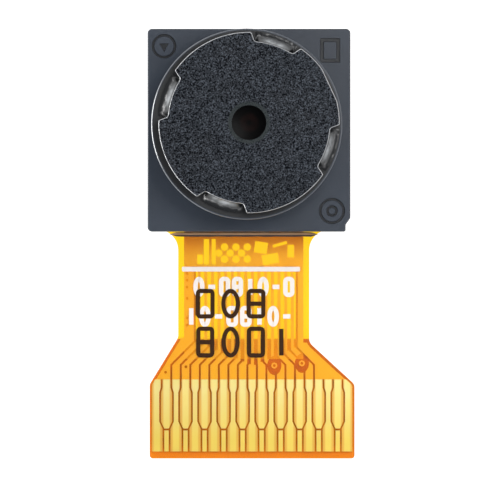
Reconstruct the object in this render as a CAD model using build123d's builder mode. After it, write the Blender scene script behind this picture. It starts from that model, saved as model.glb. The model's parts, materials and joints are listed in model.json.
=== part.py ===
"""Small fixed-focus camera module on a flexible printed circuit.

Units are millimetres. The origin lies on the optical axis, in the rear face of
the stiffener plate. +Z is the way the lens looks, the flexible tail runs
towards -Y, and its contacts face +Z.
"""

import os

from build123d import *

os.makedirs("parts", exist_ok=True)

# Stack under the housing, from the rear face up
plate_thickness = 0.17
plate_adhesive_thickness = 0.03
coverlay_thickness = 0.025
copper_thickness = 0.0125
base_film_thickness = 0.025
plating_thickness = 0.003
tail_adhesive_thickness = 0.025
housing_adhesive_thickness = 0.03

# Lens stack, from the sensor side up
focus_gap = 0.15
barrel_skirt = 0.36
retainer_thickness = 0.30
rear_lens_edge = 0.50
baffle_thickness = 0.03
spacer_thickness = 0.15
middle_lens_edge = 0.40
front_lens_edge = 0.40
barrel_web = 0.35

# Lens elements
front_lens_radius = 1.48
lens_step = 0.20
lens_clearance = 0.02
lens_sag = 0.10
lens_hollow = 0.16
front_clear_radius = 0.70
middle_clear_radius = 0.85
rear_clear_radius = 1.15
stop_opening_margin = 0.06

# Lens barrel
barrel_wall = 0.60
barrel_head_height = 0.40
barrel_head_flange = 0.345
barrel_head_edge = 0.025
barrel_foot_chamfer = 0.08
aperture_radius = 0.545
aperture_bevel_width = 0.115
aperture_bevel_depth = 0.04
notch_count = 4
notch_first_angle = 71.75
notch_angle = 31.5
notch_depth = 0.29
notch_corner_radius = 0.11
gate_flat_angle = 25.0
gate_flat_depth = 0.053

# Lens holder
thread_clearance = 0.03
tower_wall = 0.47
tower_offset_x = -0.073
tower_offset_y = -0.045
tower_height = 1.32
tower_head_gap = 0.05
tower_edge = 0.04
housing_margin = 0.38
housing_offset_y = -0.23
housing_wall = 0.50
housing_corner_radius = 0.14
housing_edge = 0.05
cavity_height = 0.47
cavity_corner_radius = 0.25
ledge_thickness = 0.18
gate_notch_width = 0.15
gate_notch_length = 0.43
gate_notch_slant = 0.21

# Recessed mould marks on the holder's face
mark_depth = 0.05
mark_line = 0.06
ring_mark_radius = 0.375
ring_mark_inset_x = 0.52
ring_mark_inset_y = 0.55
pointer_mark_radius = 0.17
pointer_mark_turn = -90
inner_mark_radius = 0.17
far_ring_mark_radius = 0.40
far_ring_mark_inset_x = 0.58
far_ring_mark_inset_y = 0.65
frame_mark_width = 0.61
frame_mark_length = 0.75
frame_mark_line = 0.10
frame_mark_inset_x = 0.64
frame_mark_inset_y = 0.68

# Infrared filter
filter_thickness = 0.20
filter_adhesive_thickness = 0.02
filter_ledge = 0.35
filter_clearance = 0.03
window_width = 3.30
window_length = 2.60
window_corner_radius = 0.30

# Image sensor and what is soldered or bonded beside it
die_thickness = 0.25
die_attach_thickness = 0.02
bond_margin = 0.54
part_margin = 0.70
bond_count = 10
bond_pitch = 0.28
bond_wire_width = 0.025
bond_loop_height = 0.10
bond_inset = 0.08
bond_pad_length = 0.16
bond_pad_width = 0.12
capacitor_length = 0.60
capacitor_width = 0.30
capacitor_height = 0.30
terminal_length = 0.13
solder_height = 0.12
solder_reach = 0.08
lower_capacitor_count = 3
upper_capacitor_count = 2
capacitor_pitch = 1.30
capacitor_wall_gap = 0.12

# Flexible circuit outline; lengths run from the housing's tail side
flex_inset = 0.06
neck_setback_left = 0.897
neck_setback_right = 1.231
neck_flare_radius = 0.64
neck_length_left = 3.34
neck_length_right = 3.495
shoulder_length = 4.811
tail_length = 7.15
tail_center_x = 0.0985
tail_side_margin = 0.2295
shoulder_radius = 0.22
neck_end_radius = 0.30
tail_corner_radius = 0.10
window_wall_gap = 0.08
stiffened_length = 3.77

# Contacts
contact_pitch = 0.30
contact_count = 21
contact_gap = 0.055
contact_wide = 0.35
contact_side_margin = 0.07
contact_end_margin = 0.22
contact_window_length = 2.494
contact_throat_length = 0.26
contact_shoulder_length = 0.15
contact_wide_length = 0.92
contact_round_length = 0.22
contact_break = 0.06
contact_corner_radius = 0.10

# Copper tracks and rails along the neck
bare_margin = 0.185
left_rail_width = 0.37
right_rail_width = 0.24
left_rail_contacts = 2
track_count = 15
tail_gap = 0.06
neck_gap = 0.115
track_bend_rise = 0.456
track_length = 1.18
ground_margin = 0.09
via_radius = 0.045
via_pad_radius = 0.10
via_edge_inset = 0.05
via_drops = [1.32, 1.53, 1.75, 2.10, 2.72, 2.94]
right_via_drops = [1.32, 1.53, 1.75]
plane_vias = [(0.243, 4.26), (-0.397, 4.43)]
clearing_places = [(3.03, 4.22), (3.90, 4.15)]
clearing_width = 0.44
clearing_length = 0.60

# Openings in the copper beside the housing, as right and down from the neck's upper left
slot_openings = [
    (0.69, 0.87, 0.18, 0.30),
    (0.89, 0.63, 0.17, 0.80),
    (1.12, 0.63, 0.13, 0.80),
    (2.61, 0.50, 0.41, 0.36),
    (2.91, 0.86, 0.52, 0.32),
    (3.55, 0.61, 0.21, 0.40),
    (3.21, 0.40, 0.46, 0.10),
]
slot_turns = [0, 0, 0, -8, 10, 0, 16]
dot_field_right = 1.82
dot_field_down = 0.675
dot_pitch = 0.36
dot_row_pitch = 0.19
dot_columns = 3
dot_radius = 0.125
small_round_sides = 8

# Adhesive dabs and the bead where the tail leaves the housing
dab_clearance = 0.02
dab_height = 0.26
dab_edge = 0.09
dab_angle_margin = 4.0
bead_width = 0.17
bead_height = 0.14
bead_side_inset = 0.14

# Levels, from the rear face up
flex_bottom = plate_thickness + plate_adhesive_thickness
back_copper_bottom = flex_bottom + coverlay_thickness
base_film_bottom = back_copper_bottom + copper_thickness
front_copper_bottom = base_film_bottom + base_film_thickness
front_copper_top = front_copper_bottom + copper_thickness
flex_top = front_copper_top + coverlay_thickness
holder_bottom = flex_top + housing_adhesive_thickness
die_bottom = front_copper_top + die_attach_thickness
die_top = die_bottom + die_thickness
filter_bottom = holder_bottom + cavity_height
filter_top = filter_bottom + filter_thickness
ledge_bottom = filter_top + filter_adhesive_thickness
ledge_top = ledge_bottom + ledge_thickness
barrel_bottom = ledge_top + focus_gap
retainer_bottom = barrel_bottom + barrel_skirt
rear_lens_bottom = retainer_bottom + retainer_thickness
rear_lens_top = rear_lens_bottom + rear_lens_edge
spacer_bottom = rear_lens_top + baffle_thickness
middle_lens_bottom = spacer_bottom + spacer_thickness
middle_lens_top = middle_lens_bottom + middle_lens_edge
front_lens_bottom = middle_lens_top + baffle_thickness
front_lens_top = front_lens_bottom + front_lens_edge
head_top = front_lens_top + barrel_web
head_bottom = head_top - barrel_head_height
tower_top = head_bottom - tower_head_gap
housing_top = tower_top - tower_height

# Radii and plan sizes that follow from the driving dimensions
middle_lens_radius = front_lens_radius + lens_step
rear_lens_radius = middle_lens_radius + lens_step
barrel_radius = rear_lens_radius + lens_clearance + barrel_wall
head_radius = barrel_radius + barrel_head_flange
bore_radius = barrel_radius + thread_clearance
tower_radius = bore_radius + tower_wall
housing_side = 2 * tower_radius + housing_margin
housing_half = housing_side / 2
housing_front = housing_offset_y - housing_half
housing_back = housing_offset_y + housing_half
cavity_side = housing_side - 2 * housing_wall
cavity_half = cavity_side / 2
die_width = cavity_side - 2 * bond_margin
die_length = 2 * (cavity_half - abs(housing_offset_y) - part_margin)
filter_width = window_width + 2 * filter_ledge
filter_length = window_length + 2 * filter_ledge
flex_pad_side = housing_side - 2 * flex_inset
flex_pad_front = housing_offset_y - flex_pad_side / 2
coverlay_window_side = cavity_side - 2 * window_wall_gap
contact_narrow = 2 * (contact_pitch - contact_gap) - contact_wide
contact_throat = contact_pitch - contact_gap

# Plan of the flexible circuit, seen from in front
tail_width = (contact_count - 1) * contact_pitch + 2 * tail_side_margin
tail_left = tail_center_x - tail_width / 2
tail_right = tail_center_x + tail_width / 2
tail_end = housing_front - tail_length
shoulder_y = housing_front - shoulder_length
neck_left = neck_setback_left - flex_pad_side / 2
neck_right = flex_pad_side / 2 - neck_setback_right
neck_end_left = housing_front - neck_length_left
neck_end_right = housing_front - neck_length_right
coverlay_edge = tail_end + contact_window_length
contact_end = tail_end + contact_end_margin
stiffener_edge = tail_end + stiffened_length


def ring_level(bottom, inner_radius, outer_radius, height):
    """A flat washer standing on the level bottom, on the optical axis."""
    with BuildPart() as washer:
        with BuildSketch(Plane.XY.offset(bottom)):
            Circle(outer_radius)
            Circle(inner_radius, mode=Mode.SUBTRACT)
        extrude(amount=height)
    return washer.part


def pad_outline():
    """The square pad behind the housing, cut back at the holder's gate notch."""
    cut_left = housing_half - gate_notch_width - flex_inset
    cut_top = housing_front + gate_notch_length + flex_inset
    with BuildSketch() as pad:
        with Locations((0, housing_offset_y)):
            RectangleRounded(flex_pad_side, flex_pad_side, housing_corner_radius)
        with BuildLine():
            Polyline(
                (housing_half, cut_top),
                (cut_left, cut_top - gate_notch_slant),
                (cut_left, housing_front),
                (housing_half, housing_front),
                close=True,
            )
        make_face(mode=Mode.SUBTRACT)
    return pad.sketch


pad_plan = pad_outline()


def flex_outline():
    """The flexible circuit in plan: square pad, neck and widened contact end."""
    with BuildSketch() as outline:
        add(pad_plan)
        with BuildLine():
            Polyline(
                (neck_left, flex_pad_front + flex_pad_side / 4),
                (neck_left, neck_end_left),
                (tail_left, shoulder_y),
                (tail_left, tail_end),
                (tail_right, tail_end),
                (tail_right, shoulder_y),
                (neck_right, neck_end_right),
                (neck_right, flex_pad_front + flex_pad_side / 4),
                close=True,
            )
        make_face()
        flare_points = [(neck_left, flex_pad_front), (neck_right, flex_pad_front)]
        shoulder_points = [(tail_left, shoulder_y), (tail_right, shoulder_y)]
        neck_points = [(neck_left, neck_end_left), (neck_right, neck_end_right)]
        end_points = [(tail_left, tail_end), (tail_right, tail_end)]
        for points, radius in (
            (flare_points, neck_flare_radius),
            (shoulder_points, shoulder_radius),
            (neck_points, neck_end_radius),
            (end_points, tail_corner_radius),
        ):
            fillet([outline.vertices().sort_by_distance(point)[0] for point in points], radius)
    return outline.sketch


def below(y):
    """A large rectangle that covers everything on the tail side of y."""
    reach = 4 * housing_side
    with BuildSketch() as region:
        with Locations((0, y)):
            Rectangle(reach, reach, align=(Align.CENTER, Align.MAX))
    return region.sketch


flex_plan = flex_outline()
contact_region = below(coverlay_edge)
stiffened_plan = flex_plan & below(stiffener_edge)

# Lens holder: a square moulded housing with a round tower for the barrel
with BuildPart() as lens_holder:
    with BuildSketch(Plane.XY.offset(holder_bottom)):
        with Locations((0, housing_offset_y)):
            RectangleRounded(housing_side, housing_side, housing_corner_radius)
        with BuildLine():
            Polyline(
                (housing_half, housing_front + gate_notch_length),
                (housing_half - gate_notch_width, housing_front + gate_notch_length - gate_notch_slant),
                (housing_half - gate_notch_width, housing_front),
                (housing_half, housing_front),
                close=True,
            )
        make_face(mode=Mode.SUBTRACT)
    extrude(amount=housing_top - holder_bottom)
    chamfer(lens_holder.faces().sort_by(Axis.Z)[-1].edges(), housing_edge)
    with BuildSketch(Plane.XY.offset(housing_top - housing_edge)):
        with Locations((tower_offset_x, tower_offset_y)):
            Circle(tower_radius)
    extrude(amount=tower_height + housing_edge)
    chamfer(lens_holder.faces().sort_by(Axis.Z)[-1].edges(), tower_edge)
    with BuildSketch(Plane.XY.offset(ledge_top)):
        Circle(bore_radius)
    extrude(amount=tower_top - ledge_top, mode=Mode.SUBTRACT)
    with BuildSketch(Plane.XY.offset(holder_bottom)):
        with Locations((0, housing_offset_y)):
            RectangleRounded(cavity_side, cavity_side, cavity_corner_radius)
    extrude(amount=cavity_height, mode=Mode.SUBTRACT)
    with BuildSketch(Plane.XY.offset(filter_bottom)):
        Rectangle(filter_width + 2 * filter_clearance, filter_length + 2 * filter_clearance)
    extrude(amount=ledge_bottom - filter_bottom, mode=Mode.SUBTRACT)
    with BuildSketch(Plane.XY.offset(ledge_bottom)):
        RectangleRounded(window_width, window_length, window_corner_radius)
    extrude(amount=ledge_thickness, mode=Mode.SUBTRACT)
    with BuildSketch(Plane.XY.offset(housing_top)):
        with Locations((-housing_half + ring_mark_inset_x, housing_back - ring_mark_inset_y)):
            Circle(ring_mark_radius)
            Circle(ring_mark_radius - mark_line, mode=Mode.SUBTRACT)
            RegularPolygon(pointer_mark_radius, 3, rotation=pointer_mark_turn)
        with Locations((housing_half - far_ring_mark_inset_x, housing_front + far_ring_mark_inset_y)):
            Circle(far_ring_mark_radius)
            Circle(far_ring_mark_radius - mark_line, mode=Mode.SUBTRACT)
            Circle(inner_mark_radius)
            Circle(inner_mark_radius - mark_line, mode=Mode.SUBTRACT)
        with Locations((housing_half - frame_mark_inset_x, housing_back - frame_mark_inset_y)):
            Rectangle(frame_mark_width, frame_mark_length)
            Rectangle(
                frame_mark_width - 2 * frame_mark_line,
                frame_mark_length - 2 * frame_mark_line,
                mode=Mode.SUBTRACT,
            )
    extrude(amount=-mark_depth, mode=Mode.SUBTRACT)


def sector_profile(inner_radius, outer_radius, angle):
    """A sector of a ring, centred on +X."""
    with BuildSketch() as sector:
        with BuildLine():
            inner = CenterArc((0, 0), inner_radius, -angle / 2, angle)
            outer = CenterArc((0, 0), outer_radius, -angle / 2, angle)
            Line(inner @ 0, outer @ 0)
            Line(inner @ 1, outer @ 1)
        make_face()
    return sector.sketch


# Lens barrel: a turned form with a flat head, spanner notches and a gate flat
notch_inner_radius = head_radius - notch_depth
notch_outer_radius = head_radius + notch_depth
with BuildSketch() as barrel_notch:
    add(sector_profile(notch_inner_radius, notch_outer_radius, notch_angle))
    fillet(barrel_notch.vertices().sort_by_distance((0, 0))[:2], notch_corner_radius)

with BuildPart() as lens_barrel:
    with BuildSketch(Plane.XZ):
        with BuildLine():
            Polyline(
                (aperture_radius, front_lens_top),
                (aperture_radius, head_top - aperture_bevel_depth),
                (aperture_radius + aperture_bevel_width, head_top),
                (head_radius, head_top),
                (head_radius, head_bottom),
                (barrel_radius, head_bottom),
                (barrel_radius, barrel_bottom + barrel_foot_chamfer),
                (barrel_radius - barrel_foot_chamfer, barrel_bottom),
                (rear_lens_radius + lens_clearance, barrel_bottom),
                (rear_lens_radius + lens_clearance, spacer_bottom),
                (middle_lens_radius + lens_clearance, spacer_bottom),
                (middle_lens_radius + lens_clearance, front_lens_bottom),
                (front_lens_radius + lens_clearance, front_lens_bottom),
                (front_lens_radius + lens_clearance, front_lens_top),
                close=True,
            )
        make_face()
    revolve(axis=Axis.Z)
    with BuildSketch(Plane.XY.offset(head_bottom)):
        with PolarLocations(0, notch_count, start_angle=notch_first_angle):
            add(barrel_notch.sketch)
        with Locations(Rotation(0, 0, gate_flat_angle)):
            with Locations((head_radius - gate_flat_depth, 0)):
                Rectangle(notch_depth, 2 * head_radius, align=(Align.MIN, Align.CENTER))
    extrude(amount=barrel_head_height, mode=Mode.SUBTRACT)
    head_face = lens_barrel.faces().filter_by(Axis.Z).sort_by(Axis.Z)[-1]
    chamfer(head_face.outer_wire().edges(), barrel_head_edge)


def lens_element(bottom, top, radius, upper_radius, upper_sag, lower_radius, lower_sag):
    """A moulded lens with a flat flange; a positive sag bulges outwards."""
    with BuildPart() as lens:
        with BuildSketch(Plane.XZ):
            with BuildLine():
                Polyline((upper_radius, top), (radius, top), (radius, bottom), (lower_radius, bottom))
                RadiusArc(
                    (0, bottom - lower_sag),
                    (lower_radius, bottom),
                    (lower_radius**2 + lower_sag**2) / (2 * lower_sag) * -1,
                )
                RadiusArc(
                    (0, top + upper_sag),
                    (upper_radius, top),
                    (upper_radius**2 + upper_sag**2) / (2 * upper_sag),
                )
                Line((0, bottom - lower_sag), (0, top + upper_sag))
            make_face()
        revolve(axis=Axis.Z)
    return lens.part


with BuildPart() as front_lens:
    add(
        lens_element(
            front_lens_bottom, front_lens_top, front_lens_radius,
            front_clear_radius, -lens_sag, front_clear_radius, lens_sag,
        )
    )

with BuildPart() as middle_lens:
    add(
        lens_element(
            middle_lens_bottom, middle_lens_top, middle_lens_radius,
            front_clear_radius, -lens_hollow, middle_clear_radius, lens_sag,
        )
    )

with BuildPart() as rear_lens:
    add(
        lens_element(
            rear_lens_bottom, rear_lens_top, rear_lens_radius,
            middle_clear_radius, -lens_sag, rear_clear_radius, -lens_hollow,
        )
    )

with BuildPart() as front_baffle:
    add(
        ring_level(
            middle_lens_top,
            front_clear_radius + stop_opening_margin,
            middle_lens_radius,
            baffle_thickness,
        )
    )

with BuildPart() as spacer_ring:
    add(
        ring_level(
            spacer_bottom,
            middle_clear_radius + stop_opening_margin,
            middle_lens_radius,
            spacer_thickness,
        )
    )

with BuildPart() as rear_baffle:
    add(
        ring_level(
            rear_lens_top,
            middle_clear_radius + stop_opening_margin,
            rear_lens_radius,
            baffle_thickness,
        )
    )

with BuildPart() as retaining_ring:
    add(
        ring_level(
            retainer_bottom,
            rear_clear_radius + stop_opening_margin,
            rear_lens_radius,
            retainer_thickness,
        )
    )

# Infrared filter and the frame of adhesive that holds it under the ledge
with BuildPart() as infrared_filter:
    with BuildSketch(Plane.XY.offset(filter_bottom)):
        Rectangle(filter_width, filter_length)
    extrude(amount=filter_thickness)

with BuildPart() as filter_adhesive:
    with BuildSketch(Plane.XY.offset(filter_top)):
        Rectangle(filter_width, filter_length)
        Rectangle(window_width, window_length, mode=Mode.SUBTRACT)
    extrude(amount=filter_adhesive_thickness)

# Thread-lock adhesive: one dab in each spanner notch, on the tower's rim
dab_inner_radius = notch_inner_radius + dab_clearance
dab_outer_radius = head_radius
dab_profile = sector_profile(dab_inner_radius, dab_outer_radius, notch_angle - 2 * dab_angle_margin)
with BuildPart() as thread_lock_adhesive:
    with BuildSketch(Plane.XY.offset(tower_top)):
        with PolarLocations(0, notch_count, start_angle=notch_first_angle):
            add(dab_profile)
    extrude(amount=dab_height)
    dab_tops = thread_lock_adhesive.faces().filter_by(Axis.Z).group_by(Axis.Z)[-1]
    chamfer(dab_tops.edges(), dab_edge)

# Adhesive under the holder's wall, and the bead at the tail's exit
with BuildPart() as housing_adhesive:
    with BuildSketch(Plane.XY.offset(flex_top)):
        add(pad_plan)
        with Locations((0, housing_offset_y)):
            Rectangle(cavity_side, cavity_side, mode=Mode.SUBTRACT)
    extrude(amount=housing_adhesive_thickness)

bead_left = neck_left - bead_side_inset
bead_right = neck_right + bead_side_inset
with BuildPart() as exit_bead:
    with BuildSketch(Plane.YZ.offset(bead_left)):
        with BuildLine():
            Polyline(
                (housing_front - bead_width, flex_top),
                (housing_front, flex_top),
                (housing_front, holder_bottom + bead_height),
            )
            ThreePointArc(
                (housing_front, holder_bottom + bead_height),
                (housing_front - bead_width / 3, flex_top + bead_height / 2),
                (housing_front - bead_width, flex_top),
            )
        make_face()
    extrude(amount=bead_right - bead_left)

# Image sensor on its attach film, with bond wires to both sides
with BuildPart() as image_sensor:
    with BuildSketch(Plane.XY.offset(die_bottom)):
        Rectangle(die_width, die_length)
    extrude(amount=die_thickness)

with BuildPart() as die_attach_film:
    with BuildSketch(Plane.XY.offset(front_copper_top)):
        Rectangle(die_width, die_length)
    extrude(amount=die_attach_thickness)

wire_start = die_width / 2 - bond_inset
wire_end = die_width / 2 + (bond_margin - window_wall_gap) / 2
with BuildPart() as bond_wire:
    with BuildSketch(Plane.XZ):
        with BuildLine():
            Polyline(
                (wire_start, die_top),
                (wire_start, die_top + bond_loop_height),
                (die_width / 2 + bond_wire_width, die_top + bond_loop_height),
                (wire_end + bond_wire_width, front_copper_top),
                (wire_end, front_copper_top),
                (die_width / 2, die_top + bond_loop_height - bond_wire_width),
                (wire_start + bond_wire_width, die_top + bond_loop_height - bond_wire_width),
                (wire_start + bond_wire_width, die_top),
                close=True,
            )
        make_face()
    extrude(amount=bond_wire_width / 2, both=True)

with BuildPart() as bond_wires:
    with GridLocations(0, bond_pitch, 1, bond_count):
        add(bond_wire.part)
    mirror(about=Plane.YZ)

# Ceramic capacitors: three on the tail side of the sensor, two on the far side
lower_row_y = housing_offset_y - cavity_half + capacitor_wall_gap + capacitor_width / 2
upper_row_y = housing_offset_y + cavity_half - capacitor_wall_gap - capacitor_width / 2
capacitor_places = [
    ((i - (count - 1) / 2) * capacitor_pitch, row_y)
    for count, row_y in ((lower_capacitor_count, lower_row_y), (upper_capacitor_count, upper_row_y))
    for i in range(count)
]
ceramic_length = capacitor_length - 2 * terminal_length
terminal_x = (capacitor_length - terminal_length) / 2

with BuildPart() as capacitor_bodies:
    with BuildSketch(Plane.XY.offset(front_copper_top)):
        with Locations(*capacitor_places):
            Rectangle(ceramic_length, capacitor_width)
    extrude(amount=capacitor_height)

with BuildPart() as capacitor_terminals:
    with BuildSketch(Plane.XY.offset(front_copper_top)):
        with Locations(*capacitor_places):
            with Locations((-terminal_x, 0), (terminal_x, 0)):
                Rectangle(terminal_length, capacitor_width)
    extrude(amount=capacitor_height)

with BuildPart() as solder_pair:
    with BuildSketch(Plane.XZ):
        with BuildLine():
            Polyline(
                (capacitor_length / 2, front_copper_top),
                (capacitor_length / 2 + solder_reach, front_copper_top),
                (capacitor_length / 2, front_copper_top + solder_height),
                close=True,
            )
        make_face()
    extrude(amount=capacitor_width / 2, both=True)
    mirror(about=Plane.YZ)

with BuildPart() as solder_joints:
    with Locations(*capacitor_places):
        add(solder_pair.part)

# Flexible circuit, from the back up
with BuildPart() as back_coverlay:
    with BuildSketch(Plane.XY.offset(flex_bottom)):
        add(flex_plan)
    extrude(amount=coverlay_thickness)

rail_left = neck_left + bare_margin
rail_right = neck_right - bare_margin
tracks_left = rail_left + left_rail_width
tracks_right = rail_right - right_rail_width
back_ground_side = flex_pad_side - 2 * bare_margin
with BuildPart() as back_copper:
    with BuildSketch(Plane.XY.offset(back_copper_bottom)):
        with Locations((0, housing_offset_y)):
            Rectangle(back_ground_side, back_ground_side)
        for rail_start, rail_end in ((rail_left, tracks_left), (tracks_right, rail_right)):
            with Locations((rail_start, stiffener_edge)):
                Rectangle(
                    rail_end - rail_start,
                    housing_front - stiffener_edge,
                    align=(Align.MIN, Align.MIN),
                )
        with Locations((rail_left, stiffener_edge)):
            Rectangle(
                rail_right - rail_left,
                (stiffener_edge - coverlay_edge) / 2,
                align=(Align.MIN, Align.MAX),
            )
    extrude(amount=copper_thickness)

with BuildPart() as base_film:
    with BuildSketch(Plane.XY.offset(base_film_bottom)):
        add(flex_plan)
    extrude(amount=base_film_thickness)

with BuildPart() as front_coverlay:
    with BuildSketch(Plane.XY.offset(front_copper_top)):
        add(flex_plan - contact_region)
        with Locations((0, housing_offset_y)):
            Rectangle(coverlay_window_side, coverlay_window_side, mode=Mode.SUBTRACT)
    extrude(amount=coverlay_thickness)

# Front copper: one sheet split into tracks by thin gaps that fan in from the contacts
neck_pitch = (tracks_right - tracks_left) / track_count
track_bend_y = coverlay_edge + track_bend_rise
track_top = housing_front - track_length


def contact_x(index):
    """Where a contact's centre line lies across the tail."""
    return tail_center_x + (index - (contact_count - 1) / 2) * contact_pitch


with BuildSketch() as track_gaps:
    for gap_index in range(track_count + 1):
        tail_x = contact_x(gap_index + left_rail_contacts) - contact_pitch / 2
        neck_x = tracks_left + gap_index * neck_pitch
        bend_end = track_bend_y + abs(neck_x - tail_x)
        with BuildLine():
            Polyline((tail_x, coverlay_edge), (tail_x, track_bend_y), (neck_x, bend_end))
        trace(line_width=tail_gap)
        with BuildLine():
            Line((neck_x, bend_end - tail_gap / 2), (neck_x, track_top))
        trace(line_width=neck_gap)

with BuildSketch() as track_sheet:
    add(offset(flex_plan, amount=-ground_margin, mode=Mode.PRIVATE))
    add(contact_region, mode=Mode.SUBTRACT)
    with Locations((0, track_top)):
        Rectangle(2 * housing_side, 2 * housing_side, align=(Align.CENTER, Align.MIN), mode=Mode.SUBTRACT)
    with Locations((rail_left, neck_end_left)):
        Rectangle(housing_side, housing_side, align=(Align.MAX, Align.MIN), mode=Mode.SUBTRACT)
    with Locations((rail_right, neck_end_right)):
        Rectangle(housing_side, housing_side, align=(Align.MIN, Align.MIN), mode=Mode.SUBTRACT)
    add(track_gaps.sketch, mode=Mode.SUBTRACT)
    with Locations((neck_left, housing_front)):
        with Locations(*[(right, -down) for right, down in clearing_places]):
            Ellipse(clearing_width / 2, clearing_length / 2, mode=Mode.SUBTRACT)
            RegularPolygon(via_pad_radius, small_round_sides)
        with Locations(*[(right, -down) for right, down in clearing_places + plane_vias]):
            RegularPolygon(via_radius, small_round_sides, mode=Mode.SUBTRACT)

# Front copper beside the housing: a ground sheet with slots, dots and test openings
with BuildSketch() as neck_ground:
    with Locations((rail_left, track_top)):
        Rectangle(
            rail_right - rail_left,
            housing_offset_y - cavity_half - track_top,
            align=(Align.MIN, Align.MIN),
        )
    with Locations((neck_left, housing_front)):
        for (right, down, width, length), turn in zip(slot_openings, slot_turns):
            with Locations((right, -down)):
                Rectangle(width, length, rotation=turn, mode=Mode.SUBTRACT)
        with Locations((dot_field_right, -dot_field_down)):
            with GridLocations(dot_pitch, 2 * dot_row_pitch, dot_columns, 2):
                RegularPolygon(dot_radius, small_round_sides, mode=Mode.SUBTRACT)
            with Locations((-dot_pitch / 2, 0)):
                with GridLocations(dot_pitch, 0, dot_columns, 1):
                    RegularPolygon(dot_radius, small_round_sides, mode=Mode.SUBTRACT)

left_vias = [(rail_left + via_edge_inset + via_radius, housing_front - drop) for drop in via_drops]
right_vias = [(tracks_right - via_edge_inset, housing_front - drop) for drop in right_via_drops]

# Front copper inside the housing: die pad, bond pads and capacitor lands
with BuildSketch() as housing_copper:
    Rectangle(die_width, die_length)
    with Locations((-wire_end, 0), (wire_end, 0)):
        with GridLocations(0, bond_pitch, 1, bond_count):
            Rectangle(bond_pad_length, bond_pad_width)
    with Locations(*capacitor_places):
        with Locations((-terminal_x, 0), (terminal_x, 0)):
            Rectangle(terminal_length + 2 * solder_reach, capacitor_width)

with BuildPart() as front_copper:
    with BuildSketch(Plane.XY.offset(front_copper_bottom)):
        add(track_sheet.sketch)
        add(neck_ground.sketch)
        with Locations(*left_vias, *right_vias):
            RegularPolygon(via_radius, small_round_sides, mode=Mode.SUBTRACT)
        add(housing_copper.sketch)
    extrude(amount=copper_thickness)

# Contacts: two staggered rows of gold-plated fingers, wide where the other is narrow
throat_end = coverlay_edge - contact_throat_length
wide_start = throat_end - contact_shoulder_length
wide_end = wide_start - contact_wide_length
round_end = wide_end - contact_round_length
stub_start = round_end - contact_break


def finger_profile(stations, rounded_y):
    """A finger symmetric about its centre line from (y, width) stations, rounded at one of them."""
    right_side = [(width / 2, y) for y, width in stations]
    left_side = [(-x, y) for x, y in reversed(right_side)]
    with BuildSketch() as finger:
        with BuildLine():
            Polyline(*right_side, *left_side, close=True)
        make_face()
        fillet(finger.vertices().filter_by_position(Axis.Y, rounded_y, rounded_y), contact_corner_radius)
    return finger.sketch


upper_finger = finger_profile(
    [
        (coverlay_edge, contact_throat),
        (throat_end, contact_throat),
        (wide_start, contact_wide),
        (wide_end, contact_wide),
        (round_end, contact_narrow),
    ],
    wide_end,
)
lower_finger = finger_profile(
    [
        (coverlay_edge, contact_throat),
        (throat_end, contact_throat),
        (wide_start, contact_narrow),
        (wide_end, contact_narrow),
        (round_end, contact_wide),
        (contact_end, contact_wide),
    ],
    round_end,
)
contact_left = tail_left + contact_side_margin
contact_right = tail_right - contact_side_margin
with BuildPart() as contact_fingers:
    with BuildSketch(Plane.XY.offset(front_copper_bottom)):
        for finger_index in range(contact_count):
            with Locations((contact_x(finger_index), 0)):
                if finger_index % 2:
                    add(upper_finger)
                else:
                    add(lower_finger)
        with Locations(*[(contact_x(i), contact_end) for i in range(1, contact_count, 2)]):
            Rectangle(contact_narrow, stub_start - contact_end, align=(Align.CENTER, Align.MIN))
        for left, right in (
            (contact_left, contact_x(0)),
            (contact_x(contact_count - 1), contact_right),
        ):
            with Locations((left, contact_end)):
                Rectangle(right - left, coverlay_edge - contact_end, align=(Align.MIN, Align.MIN))
        add(offset(flex_plan, amount=-contact_side_margin, mode=Mode.PRIVATE), mode=Mode.INTERSECT)
    extrude(amount=copper_thickness + plating_thickness)

# Stiffeners: a steel plate behind the housing, a film behind the contacts
with BuildPart() as stiffener_plate:
    with BuildSketch():
        add(pad_plan)
    extrude(amount=plate_thickness)

with BuildPart() as plate_adhesive:
    with BuildSketch(Plane.XY.offset(plate_thickness)):
        add(pad_plan)
    extrude(amount=plate_adhesive_thickness)

tail_stiffener_top = flex_bottom - tail_adhesive_thickness
with BuildPart() as tail_stiffener:
    with BuildSketch():
        add(stiffened_plan)
    extrude(amount=tail_stiffener_top)

with BuildPart() as tail_stiffener_adhesive:
    with BuildSketch(Plane.XY.offset(tail_stiffener_top)):
        add(stiffened_plan)
    extrude(amount=tail_adhesive_thickness)

pieces = {
    "lens_holder": lens_holder,
    "lens_barrel": lens_barrel,
    "front_lens": front_lens,
    "front_baffle": front_baffle,
    "middle_lens": middle_lens,
    "spacer_ring": spacer_ring,
    "rear_baffle": rear_baffle,
    "rear_lens": rear_lens,
    "retaining_ring": retaining_ring,
    "infrared_filter": infrared_filter,
    "filter_adhesive": filter_adhesive,
    "thread_lock_adhesive": thread_lock_adhesive,
    "housing_adhesive": housing_adhesive,
    "exit_bead": exit_bead,
    "image_sensor": image_sensor,
    "die_attach_film": die_attach_film,
    "bond_wires": bond_wires,
    "capacitor_bodies": capacitor_bodies,
    "capacitor_terminals": capacitor_terminals,
    "solder_joints": solder_joints,
    "back_coverlay": back_coverlay,
    "back_copper": back_copper,
    "base_film": base_film,
    "front_coverlay": front_coverlay,
    "front_copper": front_copper,
    "contact_fingers": contact_fingers,
    "stiffener_plate": stiffener_plate,
    "plate_adhesive": plate_adhesive,
    "tail_stiffener": tail_stiffener,
    "tail_stiffener_adhesive": tail_stiffener_adhesive,
}
for name, piece in pieces.items():
    piece.part.label = name
    export_step(piece.part, f"parts/{name}.step")
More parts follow.
